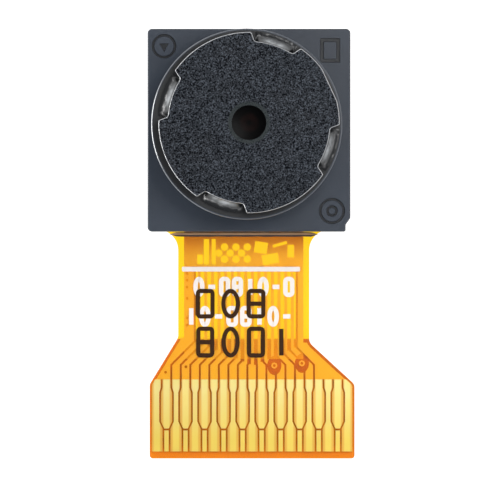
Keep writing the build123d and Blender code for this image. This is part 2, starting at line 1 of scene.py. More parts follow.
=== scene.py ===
# %% [markdown]
# # A phone camera module on its flexible tail
# The object is about 6.5 mm wide and 13.5 mm long. A black moulded housing holds the lens, and a strip
# of flexible circuit leaves it and widens into a row of gold contacts. The solids come from the frame
# at their real size. This file gives each surface its finish, and remakes the pieces whose looks depend
# on fine edges: the housing, the lens barrel, the films, the glue and the print.

# %% Load the frame
import json
import math

import bmesh
import bpy
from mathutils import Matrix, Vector


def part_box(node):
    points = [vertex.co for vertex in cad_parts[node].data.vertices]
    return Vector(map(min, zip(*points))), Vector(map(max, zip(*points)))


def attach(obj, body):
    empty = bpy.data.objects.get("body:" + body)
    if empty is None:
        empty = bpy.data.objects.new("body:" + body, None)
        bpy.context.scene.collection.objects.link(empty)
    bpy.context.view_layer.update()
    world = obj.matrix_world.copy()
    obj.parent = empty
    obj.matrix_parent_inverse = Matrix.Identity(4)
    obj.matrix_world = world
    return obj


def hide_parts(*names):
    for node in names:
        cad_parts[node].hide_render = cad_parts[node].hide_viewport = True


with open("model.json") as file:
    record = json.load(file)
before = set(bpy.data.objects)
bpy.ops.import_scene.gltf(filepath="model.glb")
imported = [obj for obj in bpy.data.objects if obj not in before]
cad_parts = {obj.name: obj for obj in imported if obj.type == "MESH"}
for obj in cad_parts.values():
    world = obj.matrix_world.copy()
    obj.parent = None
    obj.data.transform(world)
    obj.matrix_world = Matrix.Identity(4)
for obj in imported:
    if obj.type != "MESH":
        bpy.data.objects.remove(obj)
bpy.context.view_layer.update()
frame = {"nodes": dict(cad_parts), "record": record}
nodes = frame["nodes"]
mounts = {mount["name"]: mount for mount in frame["record"]["mounts"]}
print("pieces in the frame:", len(nodes))

# %% [markdown]
# ## Units and small helpers
# Blender works in metres, and this part is easier to read in millimetres: shapes are drawn in
# millimetres and shrunk once, when they are finished. A colour is picked as an sRGB hex value, as a
# paint chip or a screen gives it, and one function turns it into the linear value that light needs.

# %% Units, colours and nodes
MM = 0.001
square = ((-1, -1), (1, -1), (1, 1), (-1, 1))
scene = bpy.context.scene


def in_mm(corner):
    """A corner of the frame, in millimetres."""
    return Vector(corner) / MM


def linear(hex_colour):
    """An sRGB hex colour as a linear RGBA colour."""
    channels = [int(hex_colour[start:start + 2], 16) / 255 for start in (1, 3, 5)]
    return [c / 12.92 if c <= 0.04045 else ((c + 0.055) / 1.055) ** 2.4 for c in channels] + [1.0]


def add_node(tree, kind, inputs=None, **settings):
    """Add a node with its settings; each input is a value, a hex colour or the output that feeds it."""
    node = tree.nodes.new(kind)
    for name, value in settings.items():
        setattr(node, name, value)
    for socket_name, value in (inputs or {}).items():
        socket = node.inputs[socket_name]
        if isinstance(value, bpy.types.NodeSocket):
            tree.links.new(value, socket)
        elif str(value).startswith("#"):
            socket.default_value = linear(value)
        else:
            socket.default_value = value
    return node


def output(tree, kind, inputs=None, **settings):
    """Add a node and return its first output, which for most nodes is the result."""
    return add_node(tree, kind, inputs, **settings).outputs[0]


def new_material(name):
    """An empty material, with the coordinates that its pattern uses."""
    material = bpy.data.materials.new(name)
    material.use_nodes = True
    tree = material.node_tree
    tree.nodes.clear()
    return material, tree, add_node(tree, "ShaderNodeTexCoord").outputs["Object"]


def dress(material, *node_names):
    """Give pieces of the frame a material."""
    for node_name in node_names:
        nodes[node_name].material_slots[0].material = material
    print(material.name, "is on", ", ".join(node_names))


def add_object(name, data):
    """A new object in the scene."""
    item = bpy.data.objects.new(name, data)
    scene.collection.objects.link(item)
    return item


# %% [markdown]
# Most patterns send a few numbers through the same handful of nodes. Each of those nodes gets a short
# function that returns the socket to use next, so that a material reads like a recipe.

# %% Common nodes
def calc(tree, operation, *values):
    """The result of a math node on one, two or three values."""
    return output(tree, "ShaderNodeMath", dict(enumerate(values)), operation=operation)


def product(tree, first, second):
    """Two masks or numbers multiplied."""
    return calc(tree, "MULTIPLY", first, second)


def remap(tree, value, from_low, from_high, to_low=0.0, to_high=1.0, **settings):
    """A value carried from one range to another."""
    inputs = {
        "Value": value, "From Min": from_low, "From Max": from_high, "To Min": to_low, "To Max": to_high,
    }
    return output(tree, "ShaderNodeMapRange", inputs, **settings)


def mixed(tree, mask, base, over):
    """One number that gives way to another where the mask is 1."""
    return output(tree, "ShaderNodeMix", {0: mask, 2: base, 3: over})


def blend(tree, mask, base, over):
    """One colour laid over another where the mask is 1."""
    return add_node(tree, "ShaderNodeMix", {0: mask, 6: base, 7: over}, data_type="RGBA").outputs[2]


def noise(tree, place, size, detail=2.0):
    """Cloudy noise between 0 and 1, whose features are this many millimetres across."""
    inputs = {"Vector": place, "Scale": 1 / (size * MM), "Detail": detail}
    return output(tree, "ShaderNodeTexNoise", inputs)


def bump(tree, height, strength, depth):
    """The normal of a fine relief, from its strength and its depth in millimetres."""
    inputs = {"Strength": strength, "Distance": depth * MM, "Height": height}
    return output(tree, "ShaderNodeBump", inputs)


def axis(tree, vector, letter):
    """One coordinate of a vector."""
    return add_node(tree, "ShaderNodeSeparateXYZ", {0: vector}).outputs[letter]


def point(tree, x=0.0, y=0.0, z=0.0):
    """A vector from its coordinates."""
    return output(tree, "ShaderNodeCombineXYZ", {"X": x, "Y": y, "Z": z})


def surface(tree, shader):
    """Make a shader the surface of its material."""
    add_node(tree, "ShaderNodeOutputMaterial", {"Surface": shader})


def shade(tree, inputs):
    """Give a material one principled surface."""
    surface(tree, output(tree, "ShaderNodeBsdfPrincipled", inputs))


# %% [markdown]
# ## Camera
# The photograph looks straight down from far away, with hardly any perspective. A long lens gives that
# and keeps the sides of the housing hidden. The scale is set in pixels for each millimetre, and the
# optical axis is placed at its own pixel.

# %% Camera
image_side = 500
pixels_per_mm = 31.7
axis_pixel = (249.0, 123.3)
focal_length = 1500.0
sensor_width = 36.0
nearest, farthest = 0.01, 10.0  # metres

view_width = image_side / pixels_per_mm
view_x = (image_side / 2 - axis_pixel[0]) / pixels_per_mm
view_y = (axis_pixel[1] - image_side / 2) / pixels_per_mm
camera_height = focal_length / sensor_width * view_width
camera_data = bpy.data.cameras.new("camera")
camera_data.lens = focal_length
camera_data.sensor_width = sensor_width
camera_data.clip_start = nearest
camera_data.clip_end = farthest
camera = add_object("camera", camera_data)
camera.location = Vector((view_x, view_y, camera_height)) * MM
scene.camera = camera
print("camera looks at", round(view_x, 3), round(view_y, 3), "from", round(camera_height), "mm")

# %% [markdown]
# ## Light and floor
# The module was shot on a light table: the ground is pure white, without a shadow, and the amber film
# glows where nothing lies behind it. A softbox at the upper right gives the faces their sheen. A ring
# of low panels is what the rounded edges catch as thin bright lines. The sky stays dim, so that flat
# black faces stay black.

# %% Sky, panels and floor
sky_colour = "#f4f7ff"
sky_strength = 0.44
film_layers = 32
softbox = {"azimuth": 42, "elevation": 60, "distance": 34, "width": 18, "height": 18, "radiance": 6.1}
low_panel = {"elevation": 16, "distance": 150, "width": 110, "height": 40}
low_radiances = {180: 16.0, 225: 9.0, 270: 3.0, 315: 5.0, 0: 5.0, 45: 3.0, 90: 3.0, 130: 7.0}
floor_reach = 400
floor_mottle = 40
floor_glow = 0.98

scene.view_settings.view_transform = "Standard"
scene.cycles.transparent_max_bounces = film_layers

world = bpy.data.worlds.new("pale sky")
world.use_nodes = True
sky = world.node_tree.nodes["Background"].inputs
sky["Color"].default_value = linear(sky_colour)
sky["Strength"].default_value = sky_strength
scene.world = world

light_target = Vector((0, view_y, 1)) * MM


def soft_panel(name, azimuth, elevation, distance, width, height, radiance):
    """A soft panel light aimed at the module; azimuth is counted from +X, sizes are in millimetres."""
    panel = bpy.data.lights.new(name, "AREA")
    panel.shape = "RECTANGLE"
    panel.size = width * MM
    panel.size_y = height * MM
    panel.energy = radiance * math.pi * panel.size * panel.size_y
    a, e = math.radians(azimuth), math.radians(elevation)
    towards = Vector((math.cos(a) * math.cos(e), math.sin(a) * math.cos(e), math.sin(e)))
    lamp = add_object(name, panel)
    lamp.location = light_target + towards * distance * MM
    lamp.rotation_mode = "QUATERNION"
    lamp.rotation_quaternion = towards.to_track_quat("Z", "Y")
    lamp.visible_camera = False


soft_panel("softbox", **softbox)
for azimuth, radiance in low_radiances.items():
    soft_panel(f"low_panel_{azimuth}", azimuth, radiance=radiance, **low_panel)

floor_material, tree, place = new_material("opal acrylic, lit from below")
shade(tree, {
    "Base Color": blend(tree, noise(tree, place, floor_mottle), "#8e8e8e", "#969696"),
    "Roughness": 0.8, "Specular IOR Level": 0.0,
    "Emission Color": "#ffffff", "Emission Strength": floor_glow,
})
floor_mesh = bpy.data.meshes.new("floor")
floor_mesh.from_pydata([(x * floor_reach * MM, y * floor_reach * MM, 0) for x, y in square], [], [range(4)])
floor_mesh.materials.append(floor_material)
floor = add_object("floor", floor_mesh)

# %% [markdown]
# ## Making solids from rings
# The housing and the barrel are moulded, with small, even radii on their edges. The eye reads those
# radii as plastic, so they are modelled and not faked. Most forms are stacks of rings: an outline moved
# inwards and upwards step by step rounds an edge, and circles on one axis make a turned form. Booleans
# then join the forms and cut the bores.

# %% Rings, skins and booleans
edge_steps = 5
circle_steps = 240
arc_steps = 8
small_arc_steps = 4
weld_distance = 0.0002


def circle(radius, height, centre=(0.0, 0.0), steps=circle_steps):
    """A level circle of points."""
    x, y = centre
    angles = [2 * math.pi * i / steps for i in range(steps)]
    return [Vector((x + radius * math.cos(a), y + radius * math.sin(a), height)) for a in angles]


def quarter_round(radius):
    """Inwards and upwards moves that round an edge, from the wall to the top."""
    turns = [math.pi / 2 * i / edge_steps for i in range(edge_steps + 1)]
    return [(radius * (1 - math.cos(t)), radius * math.sin(t)) for t in turns]


def with_neighbours(items):
    """Each item of a loop between the one before it and the one after it."""
    return zip(items[-1:] + items[:-1], items, items[1:] + items[:1])


def rounded_corners(corners, steps=arc_steps):
    """A level outline from corners given as x, y and corner radius, counted anticlockwise."""
    outline = []
    for (ax, ay, _), (x, y, radius), (bx, by, _) in with_neighbours(corners):
        here = Vector((x, y))
        if radius == 0:
            outline.append(here)
            continue
        back = (Vector((ax, ay)) - here).normalized()
        ahead = (Vector((bx, by)) - here).normalized()
        half = back.angle(ahead) / 2
        centre = here + (back + ahead).normalized() * radius / math.sin(half)
        start = here + back * radius / math.tan(half) - centre
        end = here + ahead * radius / math.tan(half) - centre
        for i in range(steps + 1):
            outline.append(centre + start.slerp(end, i / steps) * radius)
    return outline


def rectangle(width, length, corner=0.0, centre=(0.0, 0.0)):
    """The corners of an upright rectangle, anticlockwise."""
    return [(centre[0] + x * width / 2, centre[1] + y * length / 2, corner) for x, y in square]


def moved_in(outline, amount):
    """A level outline, moved inwards square to its own line."""
    inner = []
    for before, here, after in with_neighbours(outline):
        along = (after - before).normalized()
        inner.append(here + Vector((-along.y, along.x)) * amount)
    return inner


def at_height(outline, height):
    """A level outline as points in space."""
    return [Vector((corner.x, corner.y, height)) for corner in outline]


def skin(name, rings, closed=False):
    """A solid from rings of equal length: capped at both ends, or closed on itself."""
    shape = bmesh.new()
    layers = [[shape.verts.new(corner) for corner in ring] for ring in rings]
    for lower, upper in zip(layers, layers[1:] + layers[:1] if closed else layers[1:]):
        for i in range(len(lower)):
            j = (i + 1) % len(lower)
            shape.faces.new((lower[i], lower[j], upper[j], upper[i]))
    if not closed:
        shape.faces.new(layers[0][::-1])
        shape.faces.new(layers[-1])
    bmesh.ops.recalc_face_normals(shape, faces=shape.faces)
    mesh = bpy.data.meshes.new(name)
    shape.to_mesh(mesh)
    shape.free()
    return add_object(name, mesh)


def slab(name, outline, bottom, top, edge=0.0):
    """An upright slab, with or without a rounded upper edge."""
    moves = quarter_round(edge) if edge else [(0.0, 0.0)]
    rings = [at_height(moved_in(outline, inwards), top - edge + up) for inwards, up in moves]
    return skin(name, [at_height(outline, bottom)] + rings)


def turned(name, profile, centre=(0.0, 0.0), closed=False):
    """A turned form from its radii and heights."""
    return skin(name, [circle(radius, height, centre) for radius, height in profile], closed)


def freeze(piece):
    """Keep what the modifiers make as a plain mesh, and take them off."""
    evaluated = piece.evaluated_get(bpy.context.evaluated_depsgraph_get())
    piece.data = bpy.data.meshes.new_from_object(evaluated)
    piece.modifiers.clear()


def combine(base, other, operation):
    """Join, cut or intersect two solids, and keep the result as a plain mesh."""
    modifier = base.modifiers.new(operation, "BOOLEAN")
    modifier.operation = operation
    modifier.solver = "EXACT"
    modifier.object = other
    freeze(base)
    bpy.data.objects.remove(other)


def finish_piece(piece, material, slot, *stands_for, crease=32):
    """Bring a piece to metres, smooth its rounds, and hang it in the frame."""
    shape = bmesh.new()
    shape.from_mesh(piece.data)
    bmesh.ops.remove_doubles(shape, verts=shape.verts, dist=weld_distance)
    bmesh.ops.scale(shape, vec=(MM, MM, MM), verts=shape.verts)
    for face in shape.faces:
        face.smooth = True
    for edge in shape.edges:
        edge.smooth = edge.calc_face_angle(0) < math.radians(crease)
    shape.to_mesh(piece.data)
    shape.free()
    piece.data.materials.clear()
    piece.data.materials.append(material)
    weights = piece.modifiers.new("flat faces keep their normals", "WEIGHTED_NORMAL")
    weights.keep_sharp = True
    freeze(piece)
    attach(piece, "root")
    if stands_for:
        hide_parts(*stands_for)
    triangles = sum(len(face.vertices) - 2 for face in piece.data.polygons)
    print(piece.name, "has", triangles, "triangles")


# %% [markdown]
# ## Masks that follow the form
# Painted highlights and painted shade sit at certain heights, at certain distances from the axis, or
# on faces of a certain slope. So a finish asks for these, and turns each into a mask with a window: 1
# inside, fading to 0 outside. A window is given by its lower limit, its upper limit and the width of its
# fade.

# %% Sizes and masks that the finishes need
holder_low, holder_high = (in_mm(corner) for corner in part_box("lens_holder"))
barrel_low, barrel_high = (in_mm(corner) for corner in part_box("lens_barrel"))
tower = mounts["lens_tower"]
tower_radius = tower["dims"]["r_mm"]
tower_x, tower_y, tower_middle = in_mm(tower["pos_m"])
tower_top = holder_high.z
housing_top = tower_middle - tower["dims"]["length_mm"] / 2
head_radius = barrel_high.x
head_top = barrel_high.z
no_limit = 1000
print("tower radius", tower_radius, "head radius", round(head_radius, 3))
print("housing top", round(housing_top, 3), "head top", round(head_top, 3))


def window_mask(tree, value, low, high, fade):
    """1 where the value lies between low and high, fading to 0 outside."""
    rising = remap(tree, value, low - fade, low)
    return product(tree, rising, remap(tree, value, high, high + fade, 1.0, 0.0))


def length_mask(tree, value, low, high, fade):
    """The same for a length, with its limits in millimetres."""
    return window_mask(tree, value, low * MM, high * MM, fade * MM)


def slope_mask(tree, height, upwards, heights, slopes):
    """1 on the faces of certain slopes at certain heights."""
    return product(tree, length_mask(tree, height, *heights), window_mask(tree, upwards, *slopes))


def place_masks(tree, place, centre=(0, 0)):
    """The height, the distance from an upright axis, and how far the face looks up."""
    inputs = {"Vector": place, "Location": (-centre[0] * MM, -centre[1] * MM, 0)}
    shifted = output(tree, "ShaderNodeMapping", inputs)
    flat = output(tree, "ShaderNodeVectorMath", {0: shifted, 1: (1.0, 1.0, 0.0)}, operation="MULTIPLY")
    distance = add_node(tree, "ShaderNodeVectorMath", {0: flat}, operation="LENGTH")
    normal = add_node(tree, "ShaderNodeNewGeometry").outputs["Normal"]
    return axis(tree, place, "Z"), distance.outputs["Value"], axis(tree, normal, "Z")


# %% [markdown]
# ## Housing plastic
# The housing is glass-filled liquid-crystal polymer, dyed black. Out of a fine-blasted mould it is a
# cool dark grey with a soft sheen and a very fine grain, slightly cloudy where the melt flowed. A broad
# noise gives the clouds and a fine one the grain. Three things depend on the place, and all three are
# painted light: the tower's rounded edge gets a painted highlight and more gloss, most of all on the
# left, the flat of its rim gets painted shade, and the floors of the mould marks get painted shade.

# %% Moulded liquid-crystal polymer
cloud_size = 1.6
cloud_limits, cloud_roughness = (0.3, 0.7), (0.46, 0.56)
grain_size, grain_relief = 0.06, (0.35, 0.004)
rim_heights = (tower_top - 0.005, no_limit, 0.001)
rim_shade_radii = (0, tower_radius - 0.07, 0.03)
mark_shade_heights, mark_shade_slopes = (housing_top - 0.1, housing_top - 0.02, 0.015), (0.15, 2, 0.05)
tower_edge_heights, tower_edge_slopes = (tower_top - 0.06, no_limit, 0.01), (0.25, 0.90, 0.08)
left_edge_highlight_from, left_edge_highlight_to = -2.70, -2.92
side_highlight_reach = 2.0
side_highlight_right, side_highlight_left = 0.12, 0.32
plastic_index, edge_shine_index = 1.5, 2.1
plain_gloss, edge_shine_gloss = 0.5, 1.0
edge_shine_roughness = 0.30


def shade_plastic(tree, painted_edge_highlight, tone, highlight_tone, roughness, gloss, normal):
    """Black plastic that is drawn lighter and glossier where its edges get a painted highlight."""
    shade(tree, {
        "Base Color": blend(tree, painted_edge_highlight, tone, highlight_tone),
        "Roughness": mixed(tree, painted_edge_highlight, roughness, edge_shine_roughness),
        "IOR": mixed(tree, painted_edge_highlight, plastic_index, edge_shine_index),
        "Specular IOR Level": mixed(tree, painted_edge_highlight, gloss, edge_shine_gloss), "Normal": normal,
    })


housing_plastic, tree, place = new_material("moulded liquid-crystal polymer")
height, from_axis, upwards = place_masks(tree, place, (tower_x, tower_y))
clouds = noise(tree, place, cloud_size, 3.0)
tone = blend(tree, clouds, "#192029", "#252e3a")
# Painted shade: the flat of the tower's rim, round the barrel's head, is drawn near black.
rim_shade = product(
    tree, length_mask(tree, height, *rim_heights), length_mask(tree, from_axis, *rim_shade_radii)
)
tone = blend(tree, rim_shade, tone, "#090b0d")
# Painted shade on the floors of the mould marks.
mark_shade = slope_mask(tree, height, upwards, mark_shade_heights, mark_shade_slopes)
tone = blend(tree, mark_shade, tone, "#0b1016")
# Painted highlight: the tower's rounded edge is drawn lighter and glossier, stronger towards the left.
painted_edge_highlight = slope_mask(tree, height, upwards, tower_edge_heights, tower_edge_slopes)
sideways = axis(tree, place, "X")
side_highlight_share = remap(tree, sideways, side_highlight_reach * MM, -side_highlight_reach * MM, side_highlight_right, side_highlight_left)
left_edge_highlight = remap(tree, sideways, left_edge_highlight_from * MM, left_edge_highlight_to * MM, side_highlight_share, 1.0)
painted_edge_highlight = product(tree, painted_edge_highlight, left_edge_highlight)
roughness = remap(tree, clouds, *cloud_limits, *cloud_roughness)
grain = bump(tree, noise(tree, place, grain_size), *grain_relief)
shade_plastic(tree, painted_edge_highlight, tone, "#2a2f36", roughness, plain_gloss, grain)

# %% [markdown]
# ## Housing
# One moulding: a square box, open below, with a round tower for the lens barrel. The tower stands a
# little off the optical axis, as moulds do, so its rim is wider on one side. The box is a slab with a
# rounded upper edge, the tower is turned, and the bore, the cavity and the mould marks are cut by
# booleans. The gate notch's outer corners are rounder than the box's edge, so that the edge can run
# round them without crossing itself.

# %% Housing
housing_edge = 0.05
tower_edge = 0.05
corner_radius = 0.14
gate_notch_width = 0.15
gate_notch_low = 0.22
gate_notch_high = 0.43
gate_outer_corner = 0.06
gate_inner_corner = 0.03
bore_radius = 2.53
bore_edge = 0.02
housing_wall = 0.50
cavity_top = 0.80
cavity_corner = 0.25
filter_pocket = (4.06, 3.36)
pocket_top = 1.02
sensor_window = (3.30, 2.60)
window_corner = 0.30
ledge_top = 1.20
margin = 0.1

left, front, bottom = holder_low
right, back, _ = holder_high
housing_centre = ((left + right) / 2, (front + back) / 2)
housing_outline = rounded_corners([
    (left, front, corner_radius),
    (right - gate_notch_width, front, gate_outer_corner),
    (right - gate_notch_width, front + gate_notch_low, gate_inner_corner),
    (right, front + gate_notch_high, gate_outer_corner),
    (right, back, corner_radius),
    (left, back, corner_radius),
])
holder = slab("housing", housing_outline, bottom, housing_top, housing_edge)
tower_profile = [(tower_radius, (bottom + housing_top) / 2)]
for inwards, up in quarter_round(tower_edge):
    tower_profile.append((tower_radius - inwards, tower_top - tower_edge + up))
combine(holder, turned("tower", tower_profile, (tower_x, tower_y)), "UNION")
bore_profile = [(bore_radius, ledge_top)]
for up, inwards in reversed(quarter_round(bore_edge)):
    bore_profile.append((bore_radius + bore_edge - inwards, tower_top - up))
bore_profile.append((bore_radius + bore_edge + margin, tower_top + margin))
combine(holder, turned("bore", bore_profile), "DIFFERENCE")
cavity = (right - left - 2 * housing_wall, back - front - 2 * housing_wall)
for name, corners, low, high in (
    ("cavity", rectangle(*cavity, cavity_corner, housing_centre), bottom - margin, cavity_top),
    ("pocket", rectangle(*filter_pocket), cavity_top - margin, pocket_top),
    ("window", rectangle(*sensor_window, window_corner), pocket_top - margin, ledge_top + margin),
):
    combine(holder, slab(name, rounded_corners(corners), low, high), "DIFFERENCE")

# %% [markdown]
# The mould leaves three shallow marks in the face: a ring round a small pointer, a ring round a
# smaller ring, and a plain frame. Their walls slope, so each reads as a soft dark line.

# %% Mould marks
mark_depth = 0.05
mark_line = 0.06
mark_slope = 0.012
mark_steps = 96
ring_mark = ((left + 0.52, back - 0.55), 0.375)
far_ring_mark = ((right - 0.58, front + 0.65), 0.40)
inner_mark_radius = 0.17
pointer_radius = 0.17
frame_mark = (0.61, 0.75)
frame_mark_line = 0.10
frame_mark_corner = 0.03
frame_mark_centre = (right - 0.64, back - 0.68)
mark_bottom = housing_top - mark_depth
mark_above = housing_top + margin


def flat_circle(radius, centre):
    """A circle as a level outline."""
    return [corner.xy for corner in circle(radius, 0.0, centre, mark_steps)]


def sloping_wall(outline, slope):
    """The rings of a wall that leans inwards, or outwards where the slope is negative."""
    upper = moved_in(outline, slope)
    return [at_height(outline, mark_bottom), at_height(upper, housing_top), at_height(upper, mark_above)]


def cut_groove(name, inner, outer):
    """Cut a groove with sloping walls between two outlines into the housing's face."""
    inner_wall, outer_wall = sloping_wall(inner, mark_slope), sloping_wall(outer, -mark_slope)
    rings = inner_wall[:1] + outer_wall + inner_wall[:0:-1]
    combine(holder, skin(name, rings, closed=True), "DIFFERENCE")


for name, centre, radius in (
    ("ring_groove", *ring_mark), ("far_ring_groove", *far_ring_mark),
    ("inner_groove", far_ring_mark[0], inner_mark_radius),
):
    cut_groove(name, flat_circle(radius - mark_line, centre), flat_circle(radius, centre))
frame_inside = [side - 2 * frame_mark_line for side in frame_mark]
cut_groove("frame_groove", *(
    rounded_corners(rectangle(*sides, frame_mark_corner, frame_mark_centre), small_arc_steps)
    for sides in (frame_inside, frame_mark)
))
pointer = [
    Vector(ring_mark[0]) + pointer_radius * Vector((math.cos(turn), math.sin(turn)))
    for turn in (math.radians(-90 + 120 * i) for i in range(3))
]
combine(holder, skin("pointer", sloping_wall(pointer, -mark_slope)), "DIFFERENCE")
finish_piece(holder, housing_plastic, "housing_plastic", "lens_holder")

# %% [markdown]
# ## Barrel plastic
# The barrel is the same kind of polymer, from a mould that was spark eroded: a coarse, even, matt grain
# of about 0.04 mm, with dark pits and pale specks. A noise at the size of the grain makes the pits and
# specks and, with a pattern of cells, the relief, so the grain still reads in soft light. The bevel
# round the opening came off polished steel, so the grain stops short of it. The grain has almost no
# sheen, while the edge of the head gets a painted highlight and more gloss.

# %% Spark-eroded polymer
grit_size = 0.041
cell_size = 0.060
shade_size = 1.4
grit_relief = (0.7, 0.010)
grained_radii = (0.68, no_limit, 0.04)
pit_limits = (0.36, 0.43)
speck_limits = (0.60, 0.72)
head_edge_heights, head_edge_slopes = (head_top - 0.05, no_limit, 0.01), (0.20, 0.90, 0.08)
grit_roughness, grit_gloss = 0.62, 0.2

barrel_plastic, tree, place = new_material("spark-eroded liquid-crystal polymer")
height, from_axis, upwards = place_masks(tree, place)
grained = length_mask(tree, from_axis, *grained_radii)
grit = noise(tree, place, grit_size, 0.0)
cells = output(tree, "ShaderNodeTexVoronoi", {
    "Vector": place, "Scale": 1 / (cell_size * MM), "Randomness": 1.0,
}, feature="F1")
beside_pits = remap(tree, grit, *pit_limits)
tone = blend(tree, noise(tree, place, shade_size), "#151b22", "#1a1c20")
tone = blend(tree, beside_pits, "#07090c", tone)
tone = blend(tree, remap(tree, grit, *speck_limits), tone, "#393e45")
tone = blend(tree, grained, "#212627", tone)
# Painted highlight: the rounded edge of the head is drawn lighter and glossier, up to the bevel.
painted_edge_highlight = product(tree, slope_mask(tree, height, upwards, head_edge_heights, head_edge_slopes), grained)
gloss = mixed(tree, beside_pits, 0.0, grit_gloss)
grain = bump(tree, product(tree, calc(tree, "ADD", grit, cells), grained), *grit_relief)
shade_plastic(tree, painted_edge_highlight, tone, "#31363c", grit_roughness, gloss, grain)

# %% [markdown]
# ## Lens barrel
# The barrel is screwed into the tower. Its head has four notches for the spanner that sets the focus,
# and a flat where the mould's gate was cut off. The head's outline is a circle that drops at both ends
# of each notch along a short wall, with a round above and below it, cut by a straight line at the flat,
# and softened a little by averaging near points. A slab with that outline, met with the turned form of
# the whole barrel, gives the head its rounded rim along every notch.

# %% Lens barrel
barrel_bottom = barrel_low.z
head_height = 0.40
head_edge = 0.035
barrel_radius = 2.50
aperture_radius = 0.545
bevel_width, bevel_depth = 0.115, 0.04
web_bottom = 3.52
notch_count = 4
notch_first_angle = 71.75
notch_angle = 31.5
notch_depth = 0.29
notch_inner_corner = 0.15
notch_outer_corner = 0.06
gate_flat_angle = 25.0
gate_flat_depth = 0.053
foot_chamfer = 0.08
lens_steps = [(1.90, 2.73), (1.70, 3.12), (1.50, web_bottom)]
outline_steps = 1080
corner_softness = 3


def notch_drop(inside):
    """How far the outline drops, this many millimetres past the end of a notch: two rounds on a wall."""
    if inside <= -notch_outer_corner:
        return 0.0
    if inside <= 0:
        return notch_outer_corner - math.sqrt(notch_outer_corner ** 2 - (inside + notch_outer_corner) ** 2)
    if inside <= notch_inner_corner:
        round_part = math.sqrt(notch_inner_corner ** 2 - (notch_inner_corner - inside) ** 2)
        return notch_depth - notch_inner_corner + round_part
    return notch_depth


def head_outline_radius(angle):
    """The radius of the head's outline in this direction, in degrees."""
    radius = head_radius
    for i in range(notch_count):
        off_centre = abs((angle - notch_first_angle - 360 / notch_count * i + 180) % 360 - 180)
        radius -= notch_drop(math.radians(notch_angle / 2 - off_centre) * head_radius)
    from_gate = math.cos(math.radians(angle - gate_flat_angle))
    if from_gate > 0:
        radius = min(radius, (head_radius - gate_flat_depth) / from_gate)
    return radius


sharp_outline = []
for i in range(outline_steps):
    angle = 360 * i / outline_steps
    turn = math.radians(angle)
    sharp_outline.append(Vector((math.cos(turn), math.sin(turn))) * head_outline_radius(angle))
neighbours = range(-corner_softness, corner_softness + 1)
head_outline = [
    sum((sharp_outline[(i + j) % outline_steps] for j in neighbours), Vector((0, 0))) / len(neighbours)
    for i in range(outline_steps)
]

head_bottom = head_top - head_height
turned_profile = [
    (aperture_radius, web_bottom),
    (aperture_radius, head_top - bevel_depth),
    (aperture_radius + bevel_width, head_top),
    (aperture_radius + 2 * bevel_width, head_top + bevel_depth),
    (head_radius + margin, head_top + bevel_depth),
    (head_radius + margin, head_bottom),
    (barrel_radius, head_bottom),
    (barrel_radius, barrel_bottom + foot_chamfer),
    (barrel_radius - foot_chamfer, barrel_bottom),
]
step_bottom = barrel_bottom
for radius, step_top in lens_steps:
    turned_profile += [(radius, step_bottom), (radius, step_top)]
    step_bottom = step_top
barrel = turned("barrel", turned_profile, closed=True)
head_slab = slab("head", head_outline, barrel_bottom - margin, head_top, head_edge)
combine(barrel, head_slab, "INTERSECT")
finish_piece(barrel, barrel_plastic, "barrel_plastic", "lens_barrel")

# %% [markdown]
# ## Geometry Nodes for what repeats
# The glue, the bead and the print are made by Geometry Nodes. Each tree is built here with named
# inputs, works in millimetres, and ends by realizing its instances and setting a material. The result
# is kept as a plain mesh, and the modifier is taken off.

# %% Trees and their results
def new_tree(name, sizes):
    """A geometry tree with these inputs; returns the tree and its input sockets by name."""
    tree = bpy.data.node_groups.new(name, "GeometryNodeTree")
    for label, value in sizes.items():
        kind = "NodeSocketInt" if isinstance(value, int) else "NodeSocketFloat"
        tree.interface.new_socket(label, in_out="INPUT", socket_type=kind).default_value = value
    tree.interface.new_socket("Material", in_out="INPUT", socket_type="NodeSocketMaterial")
    tree.interface.new_socket("Geometry", in_out="OUTPUT", socket_type="NodeSocketGeometry")
    return tree, tree.nodes.new("NodeGroupInput").outputs


def realized(tree, geometry):
    """Instances turned into a mesh of their own."""
    return output(tree, "GeometryNodeRealizeInstances", {"Geometry": geometry})


def end_tree(tree, sizes, geometry):
    """Realize the instances, set the material and hand the geometry out."""
    inputs = {"Geometry": realized(tree, geometry), "Material": sizes["Material"]}
    add_node(tree, "NodeGroupOutput", {"Geometry": output(tree, "GeometryNodeSetMaterial", inputs)})


def grow(name, tree, material, sizes):
    """Run a tree with these sizes, and keep its result as a plain mesh."""
    piece = add_object(name, bpy.data.meshes.new(name))
    modifier = piece.modifiers.new("shape", "NODES")
    modifier.node_group = tree
    wanted = dict(sizes, Material=material)
    for item in tree.interface.items_tree:
        if item.in_out == "INPUT" and item.name in wanted:
            modifier[item.identifier] = wanted[item.name]
    freeze(piece)
    return piece


def moved(tree, geometry, **where):
    """The geometry with its points set to a position, or moved by an offset."""
    return output(tree, "GeometryNodeSetPosition", {"Geometry": geometry, **where})


def lumps(tree, place, scale, middle):
    """Noise about zero, for a surface that isn't quite even."""
    inputs = {"Vector": place, "Scale": scale, "Detail": 2.0}
    return calc(tree, "SUBTRACT", output(tree, "ShaderNodeTexNoise", inputs), middle)


def line_curve(tree, start, end):
    """A straight line between two points."""
    return output(tree, "GeometryNodeCurvePrimitiveLine", {"Start": start, "End": end})


def circle_curve(tree, steps, radius):
    """A circle of curves."""
    inputs = {"Resolution": steps, "Radius": radius}
    return output(tree, "GeometryNodeCurvePrimitiveCircle", inputs)


def sweep(tree, curve, profile, scale=1.0):
    """A solid that a profile leaves along a curve."""
    inputs = {"Curve": curve, "Profile Curve": profile, "Scale": scale, "Fill Caps": True}
    return output(tree, "GeometryNodeCurveToMesh", inputs)


